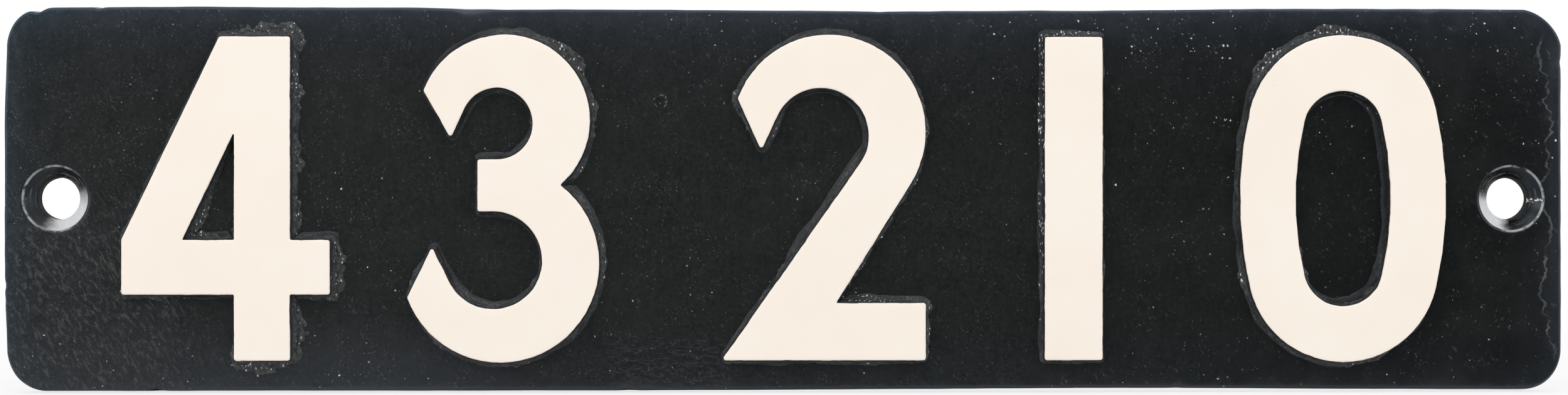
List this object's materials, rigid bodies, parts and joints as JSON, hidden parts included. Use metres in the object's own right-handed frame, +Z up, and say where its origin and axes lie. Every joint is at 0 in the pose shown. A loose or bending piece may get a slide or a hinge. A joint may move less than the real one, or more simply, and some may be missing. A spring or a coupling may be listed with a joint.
{
  "type": "locomotive number plate",
  "caption": "Cast iron locomotive number plate: raised numerals with cream enamelled faces on a black ground, with a countersunk bolt hole at each end.",
  "frame": {"origin": "middle of the flat back face, half way between the two bolt holes", "axes": "+X along the plate to the viewer's right, +Y out of the back face towards the smokebox door, +Z up; the front faces -Y"},
  "size_m": [0.597, 0.0148, 0.148],
  "materials": {
    "black_enamel": "gloss black enamel over rough sand-cast iron",
    "cream_enamel": "satin cream enamel"
  },
  "bodies": {
    "root": {"ground_plate": "black_enamel", "numeral_four": "black_enamel", "numeral_three": "black_enamel", "numeral_two": "black_enamel", "numeral_one": "black_enamel", "numeral_zero": "black_enamel", "enamel_four": "cream_enamel", "enamel_three": "cream_enamel", "enamel_two": "cream_enamel", "enamel_one": "cream_enamel", "enamel_zero": "cream_enamel"}
  },
  "joints": []
}
